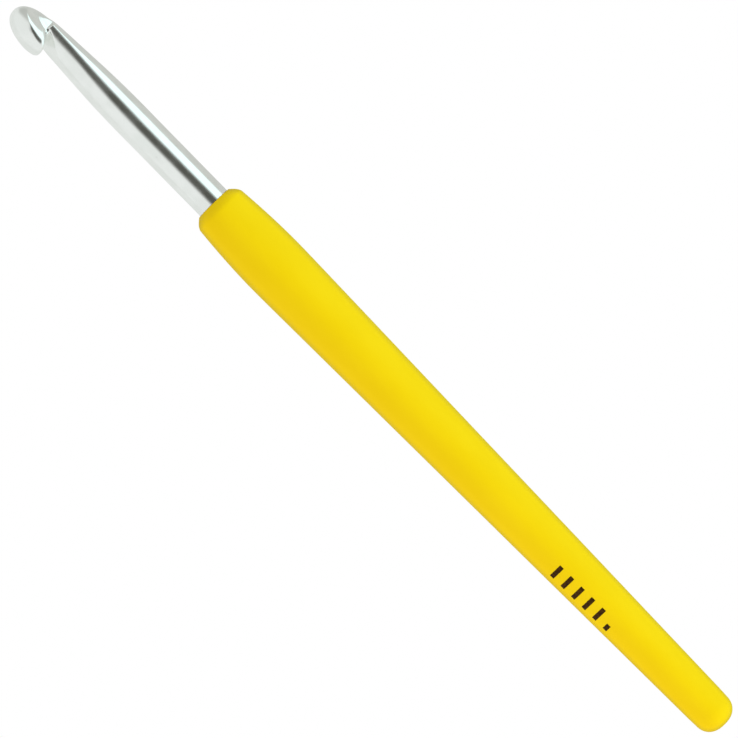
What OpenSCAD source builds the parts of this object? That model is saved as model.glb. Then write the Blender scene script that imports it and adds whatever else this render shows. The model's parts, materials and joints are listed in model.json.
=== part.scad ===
// Crochet hook: a one-piece aluminium shank with a moulded grip and an inked size mark.
//
// Frame: +X runs from the tip towards the tail, +Z is up, and the hook lies along X.
// The origin is on the hook's axis, in the plane of the grip's front face.
// The mouth opens towards -Y, rolled up from level by mouth_roll.
// All sizes are in millimetres.

/* [Shank] */
// Diameter of the shaft, which is the nominal hook size
shaft_d = 5.5; // [4.5:0.5:6]
// Length of shank that stands out of the grip, tip included
exposed_len = 40; // [38:1:50]
// Length of the tang inside the grip
tang_len = 52; // [40:1:60]
// Diameter of the tang, which leaves a shoulder at the grip's front face
tang_d = 5; // [4.6:0.1:5.2]
// Angle that the mouth is rolled up from level
mouth_roll = 35; // [0:5:90]

/* [Head] */
// Diameter of the bullet-shaped head
head_d = 5.55; // [5.2:0.05:6]
// Distance from the shaft's axis to the head's axis, towards the mouth
head_offset = 1.33; // [1:0.01:1.6]
// Length of the head, from the tip to the lip
head_len = 7.2; // [6.5:0.1:8]
// Length of the tapering nose
nose_len = 5.4; // [4.5:0.1:6]
// Radius of the hollow in each cheek
cheek_r = 5.2; // [4.5:0.1:7]
// Half the thickness left between the two cheek hollows, at the lip
cheek_half = 2.2; // [1.9:0.1:2.5]
// Angle at which the cheek hollows close in towards the tip
cheek_tilt = 10; // [5:1:14]

/* [Throat] */
// Thickness of the neck where it meets the mouth
throat_thick = 3.95; // [3.6:0.05:4.4]
// Length of shaft that is a true round, in front of the grip
round_len = 12; // [10:1:14]
// Height of the mouth's root above the shaft's axis
root_height = 0.8; // [0.5:0.1:1]
// Radius of the mouth's root
root_r = 0.3; // [0.2:0.05:0.5]

/* [Grip] */
// Length of the moulded grip
grip_len = 105; // [95:1:115]
// Diameter just behind the rounded front edge
grip_front_d = 8.3; // [7.5:0.05:8.8]
// Largest diameter
grip_max_d = 9.44; // [9:0.01:10]
// Distance from the front face to the largest diameter
grip_max_x = 12; // [8:1:16]
// Diameter where the domed tail starts
grip_tail_d = 6.2; // [6:0.1:7]
// Radius of the front edge
front_r = 1.15; // [0.8:0.05:1.3]
// Radius of the domed tail
tail_r = 2.75; // [2:0.05:2.9]

/* [Size mark] */
// Distance from the grip's front face to the first bar
mark_x = 72; // [60:1:80]
// Distance between the bars
mark_pitch = 2.14; // [1.8:0.02:2.4]
// Width of one bar along the grip
bar_w = 0.72; // [0.4:0.02:1]
// Length of a full bar round the grip
bar_h = 2.5; // [1.5:0.1:3]
// Angle of the mark above level, on the mouth's side
mark_roll = 57; // [0:1:90]
// Thickness of the ink
ink_t = 0.03; // [0.02:0.01:0.06]

/* [Hidden] */
$fn = 96;

shaft_r = shaft_d / 2;
head_r = head_d / 2;
nose_power = 2.2;            // a little blunter than an ellipse
lip_x = head_len - exposed_len;
neck_bar_r = shaft_r + 0.1;  // the neck's oval is the overlap of two round bars that lean apart
flat_start = 14.2;           // distance from the grip to where the bars start to cut into the shaft
neck_lean = atan((shaft_r - throat_thick / 2) / (-lip_x - flat_start));
mouth_slope = 1.6;           // steepness of the lip's underside
underside_q = 3.2;           // height of the lip's inner corner above the shaft's axis
floor_angle = 19;            // the mouth's floor rises out to the neck's surface at this angle
root_x = lip_x - (underside_q - root_height) / mouth_slope;
lip_r = 0.8;                 // rounding of the lip's rim
far = 12;                    // longer than any cut through the head

tail_x = grip_len - tail_r;
crown_run = grip_max_x - front_r;
crown_rise = (grip_max_d - grip_front_d) / 2;
crown_r = (pow(crown_run, 2) + pow(crown_rise, 2)) / (2 * crown_rise);  // the skin's long curve up front
crown_angle = asin(0.98 * crown_run / crown_r);

tang_r = tang_d / 2;
tang_groove_r = tang_r - 0.4;
tang_groove_w = 2.2;
tang_groove_x = [8, 16, 24];
tang_flat_half = tang_r - 0.5;
tang_flat_len = 14;
tang_chamfer = 0.8;

neck_end = exposed_len - head_len + 4;
neck_side_r = shaft_r - 0.05; // the neck's sides taper by this much, so only the shaft is a true round

mark_heights = [1, 1, 1, 1, 1, 0.5];   // five whole bars and a half bar

// Radius of the nose at a distance z behind the tip
function nose_radius(z) =
    head_r * pow(1 - pow(1 - min(z, nose_len) / nose_len, nose_power), 1 / nose_power);

// Where the plane of the lip's underside lies at a height q above the shaft's axis
function underside_x(q) = root_x + (q - root_height) / mouth_slope;

// Points of an arc, from angle a0 to a1
function arc(cx, cy, r, a0, a1, steps = 12) =
    [for (i = [0:steps]) let (a = a0 + (a1 - a0) * i / steps) [cx + r * cos(a), cy + r * sin(a)]];

// Turns a profile of [radius, x] points about the X axis
module turned(points) {
    rotate([0, 90, 0]) rotate_extrude() polygon(points);
}

// Rolls the mouth from -Y up towards +Z
module rolled() {
    rotate([-mouth_roll, 0, 0]) children();
}

// ---- Shank, drawn with the mouth towards -Y ----

module round_shaft() {
    turned([[0, -round_len], [shaft_r, -round_len], [shaft_r, 0], [0, 0]]);
}

// The tang before it is grooved: a turned bar with a chamfered end
module tang_blank() {
    turned([[0, -1], [tang_r, -1], [tang_r, tang_len - tang_chamfer],
            [tang_r - tang_chamfer, tang_len], [0, tang_len]]);
}

// Flats and grooves that stop the tang from turning in the grip or pulling out of it
module tang() {
    difference() {
        tang_blank();
        for (side = [0, 1]) mirror([0, 0, side])
            translate([tang_len - tang_flat_len, -tang_d, tang_flat_half])
                cube([tang_flat_len + 1, 2 * tang_d, tang_d]);
        for (x = tang_groove_x)
            turned([[tang_groove_r, x], [tang_r + 1, x],
                    [tang_r + 1, x + tang_groove_w], [tang_groove_r, x + tang_groove_w]]);
    }
}

// A round bar that leans off the shaft's axis towards the tip
module neck_bar() {
    over = 4;
    translate([-flat_start, neck_bar_r - shaft_r, 0]) rotate([0, 0, -neck_lean]) translate([over, 0, 0])
        rotate([0, -90, 0]) cylinder(r = neck_bar_r, h = neck_end - flat_start + 2 * over);
}

// The shaft narrowed to an oval, ending at the plane of the lip's underside
module neck() {
    intersection() {
        turned([[0, -neck_end], [neck_side_r, -neck_end], [shaft_r, -round_len], [0, -round_len]]);
        neck_bar();
        mirror([0, 1, 0]) neck_bar();
        behind_underside();
    }
}

// Everything on the shaft's side of the plane that carries the lip's underside
module behind_underside() {
    linear_extrude(height = far, center = true)
        polygon([[underside_x(far), -far], [far, -far], [far, far], [underside_x(-far), far]]);
}

module head_bullet() {
    steps = 16;
    nose = [for (i = [0:steps]) let (z = nose_len * pow(i / steps, 2))
            [nose_radius(z), z - exposed_len]];
    rim = arc(head_r - lip_r, lip_x - lip_r, lip_r, 0, 90, 6);
    translate([0, -head_offset, 0]) turned(concat(nose, rim, [[0, lip_x]]));
}

// One shallow hollow, the same on both cheeks
module cheek_hollow() {
    translate([lip_x, -head_offset, cheek_half]) rotate([0, 90 - cheek_tilt, 0])
        translate([-cheek_r, 0, -far]) cylinder(r = cheek_r, h = far + 3);
}

module head() {
    difference() {
        head_bullet();
        cheek_hollow();
        mirror([0, 0, 1]) cheek_hollow();
        behind_underside();
    }
}

// The wedge between the lip's underside and the sloping floor, with a rounded root
module mouth() {
    reach = 4;
    over = 5;
    underside_angle = atan(mouth_slope);
    half_angle = (underside_angle - floor_angle) / 2;
    root_run = root_r / sin(half_angle);
    centre = [root_x + root_run * cos(floor_angle + half_angle),
              root_height + root_run * sin(floor_angle + half_angle)];
    root = arc(centre[0], centre[1], root_r, underside_angle + 90, floor_angle + 270);
    rolled_out = [[root_x + reach, root_height + reach * tan(floor_angle)],
                  [root_x + reach, over], [underside_x(over), over]];
    mirror([0, 1, 0]) linear_extrude(height = far, center = true)
        polygon(concat(root, rolled_out));
}

module hook_shank() {
    color("silver") rolled() {
        difference() {
            union() {
                round_shaft();
                neck();
                head();
                tang();
            }
            mouth();
        }
    }
}

// ---- Grip, moulded round the tang ----

module grip_body(skin = 0) {
    front = arc(front_r, grip_front_d / 2 - front_r, front_r + skin, 180, 90);
    crown = arc(grip_max_x, grip_max_d / 2 - crown_r, crown_r + skin, 90 + crown_angle, 90, 8);
    dome = arc(tail_x, grip_tail_d / 2 - tail_r, tail_r + skin, 90, 0);
    outline = [for (p = concat(front, crown, dome)) [p[1], p[0]]];
    turned(concat([[0, -skin]], outline, [[0, grip_len + skin]]));
}

module grip() {
    color("gold") difference() {
        grip_body();
        rolled() tang();
    }
}

// ---- Size mark: a tally of bars in ink, on the grip's surface ----

module size_mark() {
    color("saddlebrown") rotate([90 - mark_roll, 0, 0]) intersection() {
        difference() {
            grip_body(skin = ink_t);
            grip_body();
        }
        for (i = [0:len(mark_heights) - 1])
            translate([mark_x + i * mark_pitch, -bar_h / 2, 0])
                cube([bar_w, bar_h * mark_heights[i], far]);
    }
}

hook_shank();
grip();
size_mark();
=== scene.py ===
"""Crochet hook: the looks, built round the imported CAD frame.

Shapes are worked out in millimetres and turned to metres when their mesh is made. The shank is meshed from
a formula for its solid, in a frame of its own: u runs along the axis from the grip's front face to the tip,
q points the way the mouth opens, and p runs across the mouth.
"""
import json
import math

import bpy
import numpy as np
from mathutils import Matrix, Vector


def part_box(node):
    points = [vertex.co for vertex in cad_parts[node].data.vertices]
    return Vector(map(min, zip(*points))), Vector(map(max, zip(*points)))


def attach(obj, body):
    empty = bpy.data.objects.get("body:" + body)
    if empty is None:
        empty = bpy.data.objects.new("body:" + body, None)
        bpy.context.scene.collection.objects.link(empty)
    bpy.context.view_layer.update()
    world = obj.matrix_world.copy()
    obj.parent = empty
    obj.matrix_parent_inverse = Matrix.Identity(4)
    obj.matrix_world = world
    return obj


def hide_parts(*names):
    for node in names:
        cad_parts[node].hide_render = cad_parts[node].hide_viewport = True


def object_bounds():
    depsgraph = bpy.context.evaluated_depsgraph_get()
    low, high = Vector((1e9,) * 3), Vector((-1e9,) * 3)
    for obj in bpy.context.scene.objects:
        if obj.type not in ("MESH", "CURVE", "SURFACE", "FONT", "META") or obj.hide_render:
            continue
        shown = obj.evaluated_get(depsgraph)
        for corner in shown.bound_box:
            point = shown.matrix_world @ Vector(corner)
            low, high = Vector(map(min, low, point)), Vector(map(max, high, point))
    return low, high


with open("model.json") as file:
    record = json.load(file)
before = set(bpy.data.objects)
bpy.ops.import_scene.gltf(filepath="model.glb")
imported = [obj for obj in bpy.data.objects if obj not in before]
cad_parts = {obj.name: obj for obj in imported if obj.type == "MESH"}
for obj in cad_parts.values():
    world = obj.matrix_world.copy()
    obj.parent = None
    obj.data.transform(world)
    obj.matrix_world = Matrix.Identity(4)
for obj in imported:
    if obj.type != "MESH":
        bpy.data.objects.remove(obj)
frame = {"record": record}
CAD_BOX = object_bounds()

MM = 0.001
MOUNTS = {mount["name"]: mount for mount in frame["record"]["mounts"]}

# ---- Sizes taken from the frame ----
SHANK_LO, SHANK_HI = (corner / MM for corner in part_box("hook_shank"))
GRIP_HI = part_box("grip")[1] / MM
TIP_U = -SHANK_LO.x
TANG_LEN = SHANK_HI.x
SHAFT_R = MOUNTS["shaft"]["dims"]["r_mm"]
GRIP_LEN = GRIP_HI.x
GRIP_MAX_R = GRIP_HI.y
MARK_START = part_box("size_mark")[0].x / MM
MOUTH_WAY = np.array(MOUNTS["throat"]["axis"])
ACROSS_MOUTH = np.cross([-1, 0, 0], MOUTH_WAY)

# ---- Head and neck ----
HEAD_R = 2.775
HEAD_OFFSET = 1.33          # from the shaft's axis to the head's axis, towards the mouth
NOSE_LEN = 5.4
NOSE_POWER = 2.2            # a little blunter than an ellipse
LIP_U = TIP_U - 7.2
LIP_TAPER = 0.055           # how much the head slims on its way to the lip,
LIP_TAPER_U = LIP_U + 2.4   # from here,
LIP_TAPER_LEN = 1.4         # over about this length
CHEEK_R = 5.2
CHEEK_HALF = 2.2            # half the thickness between the cheek hollows, at the lip
CHEEK_CLOSE = (0.05, 0.012)     # how the hollows close in towards the tip: slope, and its growth
CHEEK_BACK = 0.10           # the hollows' middles lie this far behind the head's axis at the lip
CHEEK_LEAN = 0.43           # and lean this much further back, towards the tip
MOUTH_SLOPE = 1.6           # steepness of the lip's underside
ROOT_Q = 0.8
ROOT_U = LIP_U + 1.5
FLOOR_TILT = math.radians(19)
ROUND_U = 14.5              # the shaft stays round this far
NECK_APART = 0.87           # the neck is the overlap of two bars, whose middles end up this far off the axis
NECK_APART_POWER = 1.5      # they set off slowly
NECK_BOW = 0.25             # their radius grows by this much on the way,
NECK_BOW_SPAN = 0.92        # along this share of a half wave, so a little of it is left at the lip
NECK_END_U = LIP_U + 4.6    # the neck ends inside the head,
NECK_NOSE_LENS = (6.0, 3.2)     # where it tapers over these lengths along q and p
RUN_OUT_U = LIP_U + 2.0     # the cheek hollows run out into the neck from here,
RUN_OUT_R = 0.13            # with this radius
SHAFT_END_U = TIP_U - 3     # the shaft's own body is cut off here, well inside the head
RIM_FADE = (TIP_U - 1.5, 5)     # the hollows' rims soften from here, over this length, towards the lip

# ---- Widths over which neighbouring surfaces are rounded off ----
ROUND_RIDGE = 0.25          # the neck's two bars
ROUND_RIM = (0.1, 1.3)      # the hollows' rims: at the tip, and what the lip's end adds
ROUND_LIP = 0.9
ROUND_ROOT = 0.4            # the mouth's root
ROUND_CUT = 0.2             # the hollows and the mouth, where they cut the neck
ROUND_JOIN = 0.3            # the head and the shaft

# ---- Tang, hidden in the grip ----
TANG_R = 2.5
TANG_CHAMFER = 0.8
GROOVE_R = 2.1
GROOVE_WIDTH = 2.2
GROOVES = (8, 16, 24)
FLAT_HALF = 2.0
FLAT_LEN = 14

# ---- Grip ----
GRIP_FACE_R = 2.95          # the flat front face reaches out this far
GRIP_FRONT_LEN = 1.6
GRIP_FRONT_R = 4.18         # radius where the rounded front edge ends
GRIP_EDGE_PULL = (0.92, 0.06)   # the edge's curve is pulled to this far back, and this far below that radius
GRIP_MAX_X = 12.4
GRIP_CROWN_POWER = 1.8      # how the skin swells from the front edge to its widest place
GRIP_BEND = 0.02            # how gently the taper sets in, as a share of its length
GRIP_TAIL_R = 3.09
GRIP_DOME_LEN = 2.75
GRIP_DOME_R = 2.95          # the dome is a little squarer than an ellipse, round a flat end
GRIP_DOME_POWER = 2.25
BORE_GAP = 0.02
GRIP_SIDES = 192
GRIP_SHARP = math.radians(28)   # edges that turn by more than this are drawn sharp

# ---- Size mark ----
INK = 0.03                  # thickness above the grip's skin, and depth below it
INK_RIM = 0.1               # the ink thins over this share of a bar's width
MARK_PITCH = 2.14
BAR_WIDTH = 0.72
BAR_HEIGHT = 2.5
MARK_ROLL = math.radians(33)    # from straight up, towards the mouth's side
BARS = (1, 1, 1, 1, 1, 0.5)


# ---- The shank's solid as formulas: each is below zero inside ----

def soft_max(a, b, k):
    """The larger of a and b, rounded off over a width of about k where they meet."""
    h = np.clip(k - np.abs(a - b), 0, None) / k
    return np.maximum(a, b) + h * h * k / 4


def soft_min(a, b, k):
    """The smaller of a and b, rounded off in the same way."""
    return -soft_max(-a, -b, k)


def bullet(u, q, p):
    """The head's round body, before the hollows and the mouth are cut."""
    slim = 1 - LIP_TAPER * np.clip((LIP_TAPER_U - u) / LIP_TAPER_LEN, 0, 2) ** 2
    around = np.hypot(q - HEAD_OFFSET, p) / (HEAD_R * slim)
    along = np.clip((u - (TIP_U - NOSE_LEN)) / NOSE_LEN, 0, None)
    return HEAD_R * ((around ** NOSE_POWER + along ** NOSE_POWER) ** (1 / NOSE_POWER) - 1)


def cheeks(u, q, p, run_out=0.0):
    """Above zero inside the shallow round hollow in each cheek. A run-out makes them shallower."""
    ahead = u - LIP_U
    half = CHEEK_HALF - CHEEK_CLOSE[0] * ahead - CHEEK_CLOSE[1] * ahead ** 2 + run_out
    middle = HEAD_OFFSET - CHEEK_BACK - CHEEK_LEAN * ahead
    return CHEEK_R - np.hypot(np.abs(p) - half - CHEEK_R, q - middle)


def beyond_underside(u, q):
    """How far a point is past the plane of the lip's underside, towards the grip."""
    line = ROOT_U - (q - ROOT_Q) / MOUTH_SLOPE
    return (line - u) * MOUTH_SLOPE / math.hypot(1, MOUTH_SLOPE)


def neck(u, q, p):
    """The round shaft, pressed from both sides until it is the overlap of two bars set apart along q."""
    run = np.clip((u - ROUND_U) / (LIP_U - ROUND_U), 0, 1)
    apart = NECK_APART * np.sin(run * math.pi / 2) ** NECK_APART_POWER
    bow = SHAFT_R + NECK_BOW * np.sin(run * NECK_BOW_SPAN * math.pi)
    grow_q, grow_p = [(1 - np.clip(1 - (NECK_END_U - u) / length, 0, 0.98) ** 2) ** -0.5
                      for length in NECK_NOSE_LENS]
    q, p = q * grow_q, p * grow_p
    round_bar = np.hypot(q, p) - SHAFT_R
    pressed = np.hypot(np.abs(q) + apart, p) - bow
    return soft_max(round_bar, pressed, ROUND_RIDGE) / np.maximum(grow_q, grow_p)


def tang(x, q, p):
    """The part inside the grip: a bar with a chamfered end, three grooves and two flats."""
    rho = np.hypot(q, p)
    bar = np.maximum(rho - TANG_R, (rho + x - TANG_R - TANG_LEN + TANG_CHAMFER) / math.sqrt(2))
    for start in GROOVES:
        ring = np.maximum(np.abs(x - start - GROOVE_WIDTH / 2) - GROOVE_WIDTH / 2, GROOVE_R - rho)
        bar = np.maximum(bar, -ring)
    flats = np.maximum(TANG_LEN - FLAT_LEN - x, FLAT_HALF - np.abs(p))
    return np.maximum.reduce([bar, -flats, x - TANG_LEN, -1 - x])


def head(u, q, p):
    """The bullet, hollowed in both cheeks and cut off at the lip's underside."""
    near_lip = np.clip((RIM_FADE[0] - u) / RIM_FADE[1], 0, 1)
    hollowed = soft_max(bullet(u, q, p), cheeks(u, q, p), ROUND_RIM[0] + ROUND_RIM[1] * near_lip)
    return soft_max(hollowed, beyond_underside(u, q), ROUND_LIP)


def shaft(u, q, p):
    """The neck, with the mouth cut out of it and the cheek hollows running out into it."""
    floor = (q - ROOT_Q) * math.cos(FLOOR_TILT) - (ROOT_U - u) * math.sin(FLOOR_TILT)
    mouth = soft_max(-floor, -beyond_underside(u, q), ROUND_ROOT)
    run_out = np.clip(RUN_OUT_U - u, 0, 6) ** 2 / (2 * RUN_OUT_R)
    hollowed = soft_max(neck(u, q, p), cheeks(u, q, p, run_out), ROUND_CUT)
    return np.maximum(soft_max(hollowed, -mouth, ROUND_CUT), u - SHAFT_END_U)


def hook(u, q, p):
    """All of the metal in front of the grip."""
    return np.maximum(soft_min(head(u, q, p), shaft(u, q, p), ROUND_JOIN), -u)


def shank(u, q, p):
    return np.minimum(hook(u, q, p), tang(-u, q, p))


# ---- Meshing a formula ----

HEAD_STEP = 0.07            # grid spacing along the head
CROSS_STEP = 0.085          # grid spacing across the whole shank
SETTLE_REACH = 0.06
SLOPE_STEP = 0.004


def slope_of(solid, points):
    """The formula's gradient at each point."""
    columns = []
    for axis in np.eye(3) * SLOPE_STEP:
        ahead, behind = (points + axis).T, (points - axis).T
        columns.append((solid(*ahead) - solid(*behind)) / (2 * SLOPE_STEP))
    return np.stack(columns, axis=1)


def edge_crossings(field, axes, axis):
    """Where the surface crosses the grid's edges along one axis. Gives each crossing's place, and the
    numbers of the four cells round its edge, in the order that turns their quad outwards."""
    strides = np.array([field.shape[1] * field.shape[2], field.shape[2], 1])
    second, third = (axis + 1) % 3, (axis + 2) % 3
    low = [slice(1, -1)] * 3
    low[axis] = slice(0, -1)
    high = list(low)
    high[axis] = slice(1, None)
    before, after = field[tuple(low)], field[tuple(high)]
    where = np.argwhere((before < 0) != (after < 0))
    f0, f1 = before[tuple(where.T)], after[tuple(where.T)]
    where[:, [second, third]] += 1
    points = np.stack([axes[i][where[:, i]] for i in range(3)], axis=1)
    gap = axes[axis][where[:, axis] + 1] - points[:, axis]
    points[:, axis] += gap * f0 / (f0 - f1)
    corner = where @ strides
    cells = np.stack([corner - strides[second] - strides[third], corner - strides[third],
                      corner, corner - strides[second]], axis=1)
    cells[f0 >= 0] = cells[f0 >= 0][:, ::-1]
    return points, cells


def surface_net(solid, axes):
    """Vertices and quads of the solid's surface. Each grid cell that the surface crosses gets one vertex,
    in the middle of the crossings on its edges."""
    field = solid(*np.meshgrid(*axes, indexing="ij"))
    found = [edge_crossings(field, axes, axis) for axis in range(3)]
    crossings = np.concatenate([np.repeat(points, 4, axis=0) for points, cells in found])
    owners = np.concatenate([cells.ravel() for points, cells in found])
    index = np.unique(owners, return_inverse=True)[1]
    total = np.bincount(index)
    vertices = np.stack([np.bincount(index, crossings[:, i]) / total for i in range(3)], axis=1)
    return vertices, index.reshape(-1, 4)


def settle(solid, points, reach, rounds=4):
    """Moves points onto the solid's surface, each by at most reach, and gives the normals there."""
    start = points.copy()
    for _ in range(rounds):
        slope = slope_of(solid, points)
        points = points - solid(*points.T)[:, None] * slope / (np.sum(slope ** 2, axis=1) + 1e-9)[:, None]
        moved = points - start
        far = np.linalg.norm(moved, axis=1, keepdims=True)
        points = start + moved * np.minimum(1, reach / np.maximum(far, 1e-9))
    slope = slope_of(solid, points)
    return points, slope / np.linalg.norm(slope, axis=1, keepdims=True)


def steps(start, stop, step):
    """Even steps of about the size asked for, from start up to stop and without it."""
    return np.linspace(start, stop, int(round((stop - start) / step)) + 1)[:-1]


def shank_axes():
    """Grid lines along u, q and p: close together round the head, further apart down the shaft."""
    along = np.concatenate([
        steps(-TANG_LEN - 0.31, -26.6, 0.4),            # the tang's inner end, with its flats
        steps(-26.6, -7.4, 0.2),                        # the grooves
        steps(-7.4, -0.4, 0.5),
        steps(-0.4, 0.4, 0.05),                         # the shoulder at the grip's front face
        steps(0.4, 12, 0.4),                            # the round shaft
        steps(12, LIP_U - 3, 0.25),                     # the neck
        steps(LIP_U - 3, TIP_U + 0.2, HEAD_STEP),
    ])
    up = np.arange(-3.03, HEAD_OFFSET + HEAD_R + 0.25, CROSS_STEP)
    across = np.arange(-37, 38) * CROSS_STEP + CROSS_STEP / 2
    return along, up, across


def to_row(points):
    """From the shank's own u, q and p to the row's frame."""
    return np.outer(points[:, 0], [-1, 0, 0]) + np.outer(points[:, 1], MOUTH_WAY) + \
        np.outer(points[:, 2], ACROSS_MOUTH)


def mesh_object(name, vertices, faces, normals=None):
    """A mesh object in metres, from vertices in millimetres."""
    mesh = bpy.data.meshes.new(name)
    mesh.from_pydata((vertices * MM).tolist(), [], faces)
    mesh.update()
    mesh.shade_smooth()
    if normals is not None:
        mesh.normals_split_custom_set_from_vertices(normals.tolist())
    made = bpy.data.objects.new(name, mesh)
    bpy.context.scene.collection.objects.link(made)
    return made


def build_shank():
    vertices, quads = surface_net(shank, shank_axes())
    vertices, normals = settle(shank, vertices, SETTLE_REACH)
    return mesh_object("shank_metal", to_row(vertices), quads.tolist(), to_row(normals))


# ---- Grip ----

def grip_radius(x):
    """Radius of the grip's skin behind its rounded front edge and in front of its domed tail."""
    back = (GRIP_MAX_X - np.minimum(x, GRIP_MAX_X)) / (GRIP_MAX_X - GRIP_FRONT_LEN)
    crown = GRIP_MAX_R - (GRIP_MAX_R - GRIP_FRONT_R) * back ** GRIP_CROWN_POWER
    tail_x = GRIP_LEN - GRIP_DOME_LEN
    down = (x - GRIP_MAX_X) / (tail_x - GRIP_MAX_X)
    taper = np.sqrt(np.maximum(down, 0) ** 2 + GRIP_BEND ** 2) - GRIP_BEND
    return crown - (GRIP_MAX_R - GRIP_TAIL_R) * taper


def grip_profile():
    """Points (x, radius) from the tail's middle, over the skin, to the front face and down the bore."""
    tail_x = GRIP_LEN - GRIP_DOME_LEN
    turn = np.linspace(0, math.pi / 2, 29)
    share = 2 / GRIP_DOME_POWER
    dome = np.stack([tail_x + GRIP_DOME_LEN * np.cos(turn) ** share,
                     GRIP_TAIL_R - GRIP_DOME_R + GRIP_DOME_R * np.sin(turn) ** share], axis=1)
    crown_x = GRIP_MAX_X + 6
    body_x = np.concatenate([np.linspace(tail_x, crown_x, 60)[1:],
                             np.linspace(crown_x, GRIP_FRONT_LEN, 60)[1:]])
    body = np.stack([body_x, grip_radius(body_x)], axis=1)
    edge = front_edge(np.linspace(0, 1, 17)[1:])
    mouth = [(0, SHAFT_R + 0.08), (0.04, SHAFT_R + 0.03), (0.25, SHAFT_R + 0.02), (0.3, TANG_R + BORE_GAP)]
    bore = [(TANG_LEN + BORE_GAP, TANG_R + BORE_GAP)]
    return np.concatenate([[[GRIP_LEN, 0]], dome, body, edge, mouth, bore, [[TANG_LEN + BORE_GAP, 0]]])


def front_edge(share):
    """The rounded front edge, as a curve from the skin round to the flat face."""
    p0 = np.array([GRIP_FRONT_LEN, GRIP_FRONT_R])
    p1 = np.array([GRIP_EDGE_PULL[0], GRIP_FRONT_R - GRIP_EDGE_PULL[1]])
    p2 = np.array([0.0, GRIP_FACE_R])
    s = share[:, None]
    return (1 - s) ** 2 * p0 + 2 * s * (1 - s) * p1 + s ** 2 * p2


def lathe(name, profile, sides):
    """Turns (x, radius) points round the X axis. Points on the axis become one vertex each."""
    angles = np.arange(sides) * 2 * math.pi / sides
    vertices, rings = [], []
    for x, radius in profile:
        first = len(vertices)
        if radius < 1e-6:
            vertices.append((x, 0, 0))
            rings.append([first] * sides)
        else:
            vertices.extend((x, radius * math.sin(a), radius * math.cos(a)) for a in angles)
            rings.append(list(range(first, first + sides)))
    faces = []
    for near, far in zip(rings, rings[1:]):
        for i in range(sides):
            j = (i + 1) % sides
            corners = [near[i], near[j], far[j], far[i]]
            faces.append(list(dict.fromkeys(corners)))
    return mesh_object(name, np.array(vertices, float), faces)


def build_grip():
    made = lathe("grip_moulding", grip_profile(), GRIP_SIDES)
    made.data.set_sharp_from_angle(angle=GRIP_SHARP)
    return made


# ---- Size mark ----

def ink_bar(x, height):
    """One bar of ink: a thin closed patch that follows the grip, with its edges thinned."""
    columns = np.linspace(-0.5, 0.5, 9)
    rows = np.linspace(-0.5, 0.5, 25)
    across, up = np.meshgrid(columns, rows)
    along = x + BAR_WIDTH * (across + 0.5)
    radius = grip_radius(along)
    turn = MARK_ROLL - BAR_HEIGHT * (height * (up + 0.5) - 0.5) / radius
    rim = np.minimum(0.5 - np.abs(across), (0.5 - np.abs(up)) * height * BAR_HEIGHT / BAR_WIDTH)
    depth = INK * np.clip(rim / INK_RIM, 0.25, 1) ** 0.5
    top = np.stack([along, -(radius + depth) * np.sin(turn), (radius + depth) * np.cos(turn)], axis=-1)
    sunk = radius - INK
    under = np.stack([along, -sunk * np.sin(turn), sunk * np.cos(turn)], axis=-1)
    return top, under


def patch_faces(rows, columns, first):
    """Quads of a closed patch: a top grid, an under grid after it, and walls between their rims. With the
    bars' grids they wind inwards."""
    size = rows * columns
    faces = []
    for r in range(rows - 1):
        for c in range(columns - 1):
            a = first + r * columns + c
            top = [a, a + columns, a + columns + 1, a + 1]
            faces.append(top)
            faces.append([i + size for i in reversed(top)])
    rim = list(range(columns))
    rim += [r * columns + columns - 1 for r in range(1, rows)]
    rim += [(rows - 1) * columns + c for c in range(columns - 2, -1, -1)]
    rim += [r * columns for r in range(rows - 2, 0, -1)]
    for a, b in zip(rim, rim[1:] + rim[:1]):
        faces.append([first + a, first + b, first + b + size, first + a + size])
    return faces


def build_mark():
    vertices, faces = [], []
    for i, height in enumerate(BARS):
        top, under = ink_bar(MARK_START + i * MARK_PITCH, height)
        rows, columns = top.shape[:2]
        faces += patch_faces(rows, columns, len(vertices) * rows * columns)
        vertices += [top.reshape(-1, 3), under.reshape(-1, 3)]
    return mesh_object("size_mark_ink", np.concatenate(vertices), faces)


# ---- Materials ----

METAL = ((0.88, 0.90, 0.87, 1), (0.93, 0.945, 0.92, 1))
METAL_PIT = (0.45, 0.45, 0.42, 1)
PLASTIC = ((0.945, 0.64, 0.002, 1), (0.965, 0.66, 0.003, 1))
PLASTIC_RIM_SHADE = (0.74, 0.52, 0.004, 1)    # painted shade, where the surface turns away from the viewer
INK_BROWN = ((0.028, 0.010, 0.001, 1), (0.085, 0.034, 0.002, 1))


def put(tree, kind, inputs=None, **settings):
    """Adds a shader node. Each input is a value, or another node's output to link from."""
    made = tree.nodes.new("ShaderNode" + kind)
    for name, value in settings.items():
        setattr(made, name, value)
    for name, value in (inputs or {}).items():
        if isinstance(value, bpy.types.NodeSocket):
            tree.links.new(value, made.inputs[name])
        else:
            made.inputs[name].default_value = value
    return made


def calc(tree, operation, *values):
    """The result of a maths node."""
    made = put(tree, "Math", dict(enumerate(values)), operation=operation)
    return made.outputs[0]


def between(tree, value, low, high, to_low=0.0, to_high=1.0):
    """Smooth step from to_low at low to to_high at high."""
    inputs = {"Value": value, "From Min": low, "From Max": high, "To Min": to_low, "To Max": to_high}
    return put(tree, "MapRange", inputs, interpolation_type="SMOOTHSTEP").outputs[0]


def new_material(name):
    made = bpy.data.materials.new(name)
    made.use_nodes = True
    made.node_tree.nodes.clear()
    return made, made.node_tree


def place(tree, scale=(1, 1, 1)):
    """Object coordinates, multiplied by scale."""
    where = put(tree, "TexCoord").outputs["Object"]
    return put(tree, "Mapping", {"Vector": where, "Scale": scale}).outputs[0]


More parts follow.
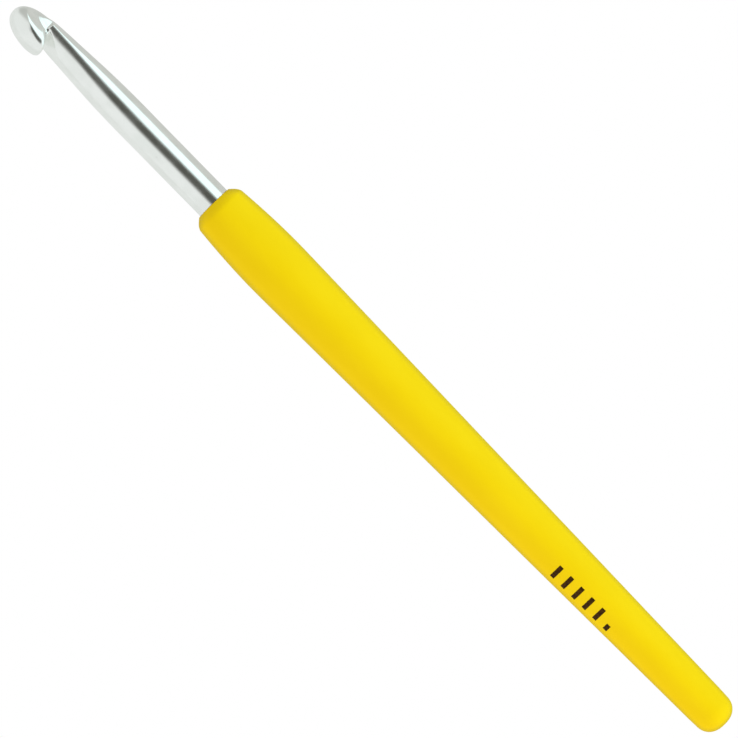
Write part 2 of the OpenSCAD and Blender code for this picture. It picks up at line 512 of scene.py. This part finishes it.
def noise(tree, where, scale, detail=2.0, roughness=0.5):
    inputs = {"Vector": where, "Scale": scale, "Detail": detail, "Roughness": roughness}
    return put(tree, "TexNoise", inputs).outputs["Fac"]


def blend(tree, share, first, second):
    """Mixes two colours by share."""
    made = put(tree, "Mix", data_type="RGBA")
    for name, value in (("Factor", share), ("A", first), ("B", second)):
        socket = [s for s in made.inputs if s.name == name and s.enabled][0]
        if isinstance(value, bpy.types.NodeSocket):
            tree.links.new(value, socket)
        else:
            socket.default_value = value
    return [s for s in made.outputs if s.enabled][0]


def put_out(tree, surface):
    """Ends a material with a shader node."""
    put(tree, "OutputMaterial", {"Surface": surface.outputs[0]})


def aluminium():
    """Polished aluminium: fine drawing lines along the shaft, soft clouding and a few tiny pits."""
    made, tree = new_material("aluminium_polished")
    lines = noise(tree, place(tree, (120, 4200, 4200)), 1.0, 3.0)
    grain = noise(tree, place(tree), 5200, 2.0)
    clouds = noise(tree, place(tree, (1, 1.5, 1.5)), 320, 3.0)
    pits = put(tree, "TexVoronoi", {"Vector": place(tree), "Scale": 900.0}).outputs["Distance"]
    pit = between(tree, pits, 0.06, 0.16, 1.0, 0.0)
    rare = between(tree, noise(tree, place(tree), 700, 1.0), 0.6, 0.68)
    pitted = calc(tree, "MULTIPLY", pit, rare)
    fine = calc(tree, "ADD", calc(tree, "MULTIPLY", lines, 0.55), calc(tree, "MULTIPLY", grain, 0.45))
    height = calc(tree, "SUBTRACT", fine, calc(tree, "MULTIPLY", pitted, 2.0))
    bump = put(tree, "Bump", {"Strength": 0.35, "Distance": 0.000004, "Height": height}).outputs[0]
    rough = between(tree, clouds, 0.3, 0.7, 0.15, 0.21)
    colour = blend(tree, between(tree, clouds, 0.35, 0.65), *METAL)
    colour = blend(tree, calc(tree, "MULTIPLY", pitted, 0.5), colour, METAL_PIT)
    surface = put(tree, "BsdfPrincipled", {
        "Base Color": colour, "Metallic": 1.0, "Roughness": rough, "Normal": bump})
    put_out(tree, surface)
    return made


def soft_plastic():
    """Soft-touch yellow moulding: matte, with a very fine texture and faint flow mottling, and painted shade
    towards its rim.
    """
    made, tree = new_material("plastic_yellow_matte")
    texture = noise(tree, place(tree), 4200, 3.0, 0.6)
    mottle = noise(tree, place(tree, (0.4, 1, 1)), 260, 3.0)
    bump = put(tree, "Bump", {"Strength": 0.3, "Distance": 0.000008, "Height": texture}).outputs[0]
    colour = blend(tree, between(tree, mottle, 0.3, 0.7), *PLASTIC)
    # Painted shade: the colour darkens where the surface turns away from the viewer.
    facing = put(tree, "LayerWeight", {"Blend": 0.5}).outputs["Facing"]
    colour = blend(tree, between(tree, facing, 0.35, 0.8), colour, PLASTIC_RIM_SHADE)
    rough = between(tree, texture, 0.3, 0.7, 0.5, 0.6)
    surface = put(tree, "BsdfPrincipled", {
        "Base Color": colour, "Roughness": rough, "Specular IOR Level": 0.06, "Normal": bump})
    put_out(tree, surface)
    return made


def ink():
    """Thin dark brown ink, a little uneven where it took less well."""
    made, tree = new_material("ink_brown")
    patches = noise(tree, place(tree), 2600, 4.0, 0.6)
    colour = blend(tree, between(tree, patches, 0.35, 0.75), *INK_BROWN)
    bump = put(tree, "Bump", {"Strength": 0.3, "Distance": 0.000004, "Height": patches}).outputs[0]
    surface = put(tree, "BsdfPrincipled", {
        "Base Color": colour, "Roughness": 0.55, "Specular IOR Level": 0.08, "Normal": bump})
    put_out(tree, surface)
    return made


# ---- Stage ----

FLOOR_SIZE = 6.0
PICTURE_SHARE = 0.7324      # the picture is this much as wide as the hook is long
PICTURE_TURN = math.radians(45.566)
AIM = Vector((0.00015, -0.00073, 0))    # from the middle of the hook to the middle of the picture
CAMERA_HEIGHT = 1.5
LAMP_WIDTH = 0.9            # as a share of a lamp's distance

# ---- What the metal mirrors, by direction ----
# In degrees: roll is from straight up towards +Y, and pitch is towards +X.
WALL = (0.853, 0.873, 0.870, 1)
DIM_SIDE = ((0.53, 0.54, 0.52, 1), (0.63, 0.64, 0.61, 1))   # the far side: at low and at higher pitch
DIM_PITCH = (-35, -10)
PANEL = (1.06, 1.24, 1.26, 1)
PANEL_ROLL = (28, 38, 80, 88)       # it fades in between the first two, and out between the last two
PANEL_PITCH = (-30, -15)
PATCH = (0.085, 0.085, 0.075, 1)
PATCH_ROLL = (9.5, 25.0)            # its middle, and half its width
PATCH_PITCH = (-19.0, 36.0)         # its two ends

# ---- Painted light and shade on the floor, which the metal mirrors, in metres ----
FLOOR_MOUTH_SIDE_LIGHT = (0.80, 0.82, 0.81, 1)
FLOOR_FAR_SIDE_SHADE = ((0.62, 0.63, 0.605, 1), (0.53, 0.54, 0.52, 1))    # painted shade: under the shaft, and under the head
HEAD_START_X = -0.038               # past here the far side's painted shade darkens, and the line between the sides bends
HEAD_DARKENS = (0.002, 0.02)
SIDE_LINE_BEND = 0.35
SIDE_LINE_HALF = 0.004


def panel_share(tree, roll, pitch):
    """One on the bright panel, and zero off it."""
    fade_in, full, fade_out, gone = PANEL_ROLL
    share = calc(tree, "MULTIPLY", between(tree, roll, fade_in, full),
                 between(tree, roll, fade_out, gone, 1.0, 0.0))
    return calc(tree, "MULTIPLY", share, between(tree, pitch, *PANEL_PITCH))


def patch_share(tree, roll, pitch):
    """One in the middle of the dark patch, with a soft edge."""
    off = calc(tree, "DIVIDE", calc(tree, "SUBTRACT", roll, PATCH_ROLL[0]), PATCH_ROLL[1])
    side = calc(tree, "MULTIPLY", off, off)
    end = calc(tree, "MAXIMUM", *(calc(tree, "DIVIDE", pitch, reach) for reach in PATCH_PITCH))
    end = calc(tree, "POWER", end, 4.0)
    return between(tree, calc(tree, "ADD", side, end), 0.1, 1.9, 1.0, 0.0)


def studio_world():
    """Soft daylight by direction: an even wall on one side, a brighter panel on the other, and a dark
    patch overhead where the camera and its stand would be."""
    world = bpy.data.worlds.new("studio")
    bpy.context.scene.world = world
    world.use_nodes = True
    tree = world.node_tree
    tree.nodes.clear()
    way = put(tree, "SeparateXYZ", {0: put(tree, "TexCoord").outputs["Generated"]}).outputs
    roll = calc(tree, "DEGREES", calc(tree, "ARCTAN2", way["Y"], way["Z"]))
    pitch = calc(tree, "DEGREES", calc(tree, "ARCSINE", way["X"]))
    dim = blend(tree, between(tree, pitch, *DIM_PITCH), *DIM_SIDE)
    colour = blend(tree, between(tree, way["Y"], 0, 0.5), WALL, dim)
    colour = blend(tree, panel_share(tree, roll, pitch), colour, PANEL)
    colour = blend(tree, patch_share(tree, roll, pitch), colour, PATCH)
    shown = put(tree, "LightPath").outputs["Is Camera Ray"]
    colour = blend(tree, shown, colour, (1.0, 1.0, 1.0, 1))
    light = put(tree, "Background", {"Color": colour, "Strength": 1.0})
    put(tree, "OutputWorld", {"Surface": light.outputs[0]})


def build_lamp(name, way, distance, power, colour):
    """A wide soft lamp, from the hook's middle so far off along a direction. It lights the matte surfaces
    and isn't mirrored in the metal."""
    data = bpy.data.lights.new(name, "AREA")
    data.shape = "DISK"
    data.size = LAMP_WIDTH * distance
    data.energy = power
    data.color = colour
    lamp = bpy.data.objects.new(name, data)
    way = Vector(way)
    lamp.location = (CAD_BOX[0] + CAD_BOX[1]) / 2 + way * distance
    lamp.rotation_euler = way.to_track_quat("Z", "Y").to_euler()
    lamp.visible_glossy = False
    bpy.context.scene.collection.objects.link(lamp)


def painted_floor_light(tree):
    """Painted light and shade that the floor glows with for the metal to mirror: a little lighter on the
    mouth's side than on the other, and darker still on the far side under the head.
    """
    where = put(tree, "SeparateXYZ", {0: put(tree, "TexCoord").outputs["Object"]}).outputs
    ahead = calc(tree, "SUBTRACT", calc(tree, "MULTIPLY", where["X"], -1.0), -HEAD_START_X)
    ahead = calc(tree, "MAXIMUM", ahead, 0.0)
    across = calc(tree, "SUBTRACT", where["Y"], calc(tree, "MULTIPLY", ahead, SIDE_LINE_BEND))
    far_side = blend(tree, between(tree, ahead, *HEAD_DARKENS), *FLOOR_FAR_SIDE_SHADE)
    share = between(tree, across, -SIDE_LINE_HALF, SIDE_LINE_HALF)
    return blend(tree, share, FLOOR_MOUTH_SIDE_LIGHT, far_side)


def floor_material():
    """Pale floor. Seen from above it is blown out to white, and seen low it keeps its soft shadow. For all
    other rays it glows with painted light and shade.
    """
    made, tree = new_material("floor_pale")
    grain = noise(tree, place(tree), 60, 2.0)
    colour = blend(tree, grain, (0.78, 0.78, 0.77, 1), (0.82, 0.82, 0.81, 1))
    matte = put(tree, "BsdfDiffuse", {"Color": colour}).outputs[0]
    glow = put(tree, "Emission", {"Color": (1, 1, 1, 1), "Strength": 1.0}).outputs[0]
    facing = calc(tree, "SUBTRACT", 1.0, put(tree, "LayerWeight", {"Blend": 0.5}).outputs["Facing"])
    above = between(tree, facing, 0.45, 0.95)
    seen = put(tree, "MixShader", {0: above, 1: matte, 2: glow}).outputs[0]
    # Painted light and shade: rays that are not the camera's see the floor glow with this tone.
    tone = painted_floor_light(tree)
    mirrored = put(tree, "Emission", {"Color": tone}).outputs[0]
    camera_ray = put(tree, "LightPath").outputs["Is Camera Ray"]
    put_out(tree, put(tree, "MixShader", {0: camera_ray, 1: mirrored, 2: seen}))
    return made


def build_floor():
    half = FLOOR_SIZE / 2
    drop = CAD_BOX[0].z
    mesh = bpy.data.meshes.new("floor")
    mesh.from_pydata([(-half, -half, drop), (half, -half, drop), (half, half, drop), (-half, half, drop)],
                     [], [(0, 1, 2, 3)])
    floor = bpy.data.objects.new("floor", mesh)
    bpy.context.scene.collection.objects.link(floor)
    floor.data.materials.append(floor_material())


def build_camera():
    lo, hi = CAD_BOX
    data = bpy.data.cameras.new("camera")
    data.sensor_width = 36
    data.lens = data.sensor_width * CAMERA_HEIGHT / (PICTURE_SHARE * (hi.x - lo.x))
    data.clip_end = 100
    camera = bpy.data.objects.new("camera", data)
    middle = (lo + hi) / 2
    camera.location = (middle.x + AIM.x, AIM.y, CAMERA_HEIGHT)
    camera.rotation_euler = (0, 0, PICTURE_TURN)
    bpy.context.scene.collection.objects.link(camera)
    bpy.context.scene.camera = camera


# ---- Assembly ----

def fit(piece, node, material):
    """Puts a piece in a CAD node's place, with its material."""
    piece.data.materials.append(material)
    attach(piece, "root")
    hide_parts(node)


fit(build_shank(), "hook_shank", aluminium())
fit(build_grip(), "grip", soft_plastic())
fit(build_mark(), "size_mark", ink())

studio_world()
build_lamp("lamp_mouth_side", (0.6, -0.74, 0.67), 0.25, 0.19, (1.0, 0.92, 0.85))
build_lamp("lamp_far_side", (0.4, 0.87, 0.5), 1.6, 13.7, (0.75, 1.0, 1.0))
build_floor()
build_camera()
bpy.context.scene.view_settings.view_transform = "Standard"
